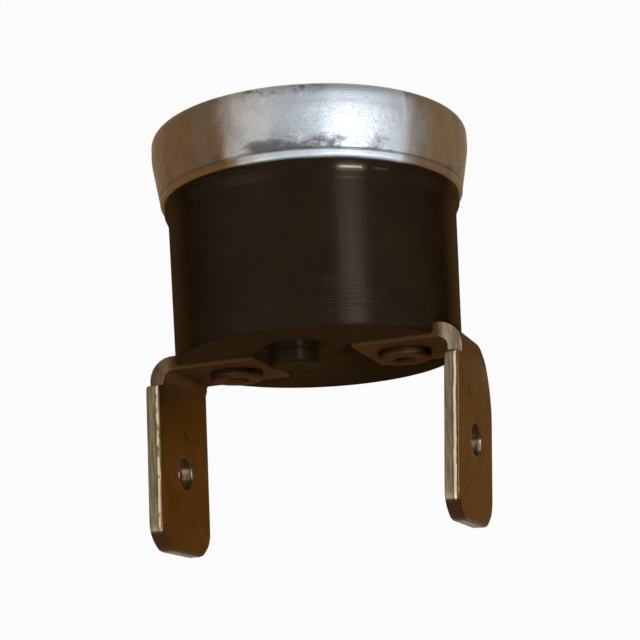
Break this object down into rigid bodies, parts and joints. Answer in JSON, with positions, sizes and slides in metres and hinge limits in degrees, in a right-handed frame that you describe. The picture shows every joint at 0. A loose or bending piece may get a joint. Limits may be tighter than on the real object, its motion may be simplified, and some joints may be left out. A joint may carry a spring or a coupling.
{
  "type": "safety thermostat",
  "caption": "Manual-reset disc thermostat: crimped metal sensing cap, black moulded barrel, push-on blades bent upright and a small reset button beside them.",
  "frame": {"origin": "centre of the sensing face, on the thermostat's axis", "axes": "+Z from the sensing face out of the terminal face, X along the line of the two blades, -Y towards the reset button"},
  "size_m": [0.0176, 0.0174, 0.0226],
  "materials": {
    "phenolic": "moulded, satin",
    "cap_metal": "drawn, satin with rub marks",
    "bimetal": "rolled",
    "guide_phenolic": "moulded",
    "ceramic": "fired ceramic",
    "blade_metal": "stamped, tarnished faces and pale sheared edges",
    "rivet_metal": "rolled, tarnished",
    "spring_brass": "stamped",
    "plate_brass": "stamped",
    "contact_silver": "coined",
    "button_plastic": "moulded",
    "spring_steel": "drawn wire"
  },
  "bodies": {
    "case": {"housing": "phenolic", "sensing_cap": "cap_metal", "bimetal_disc": "bimetal", "pin_guide": "guide_phenolic", "left_terminal": "blade_metal", "right_terminal": "blade_metal", "left_rivet": "rivet_metal", "right_rivet": "rivet_metal", "fixed_contact_plate": "plate_brass", "fixed_contact": "contact_silver", "reset_spring": "spring_steel"},
    "pin": {"transfer_pin": "ceramic"},
    "arm": {"contact_arm": "spring_brass", "moving_contact": "contact_silver"},
    "button": {"reset_button": "button_plastic"}
  },
  "joints": [
    {"name": "pin_lift", "type": "slide", "parent": "case", "child": "pin", "axis": [0, 0, 1], "range_m": [0, 0.00035], "deforming": ["bimetal_disc"]},
    {"name": "arm_flex", "type": "hinge", "parent": "case", "child": "arm", "pos_m": [-0.00485, 0, 0.00669], "axis": [0, -1, 0], "range_deg": [0, 4.15]},
    {"name": "button_press", "type": "slide", "parent": "case", "child": "button", "axis": [0, 0, -1], "range_m": [0, 0.0006], "stiffness_N_per_m": 400, "springref_m": -0.0005, "deforming": ["reset_spring"]}
  ],
  "couplings": [
    {"joint": "arm_flex", "follows": "pin_lift", "rad_per_m": 206.2}
  ]
}
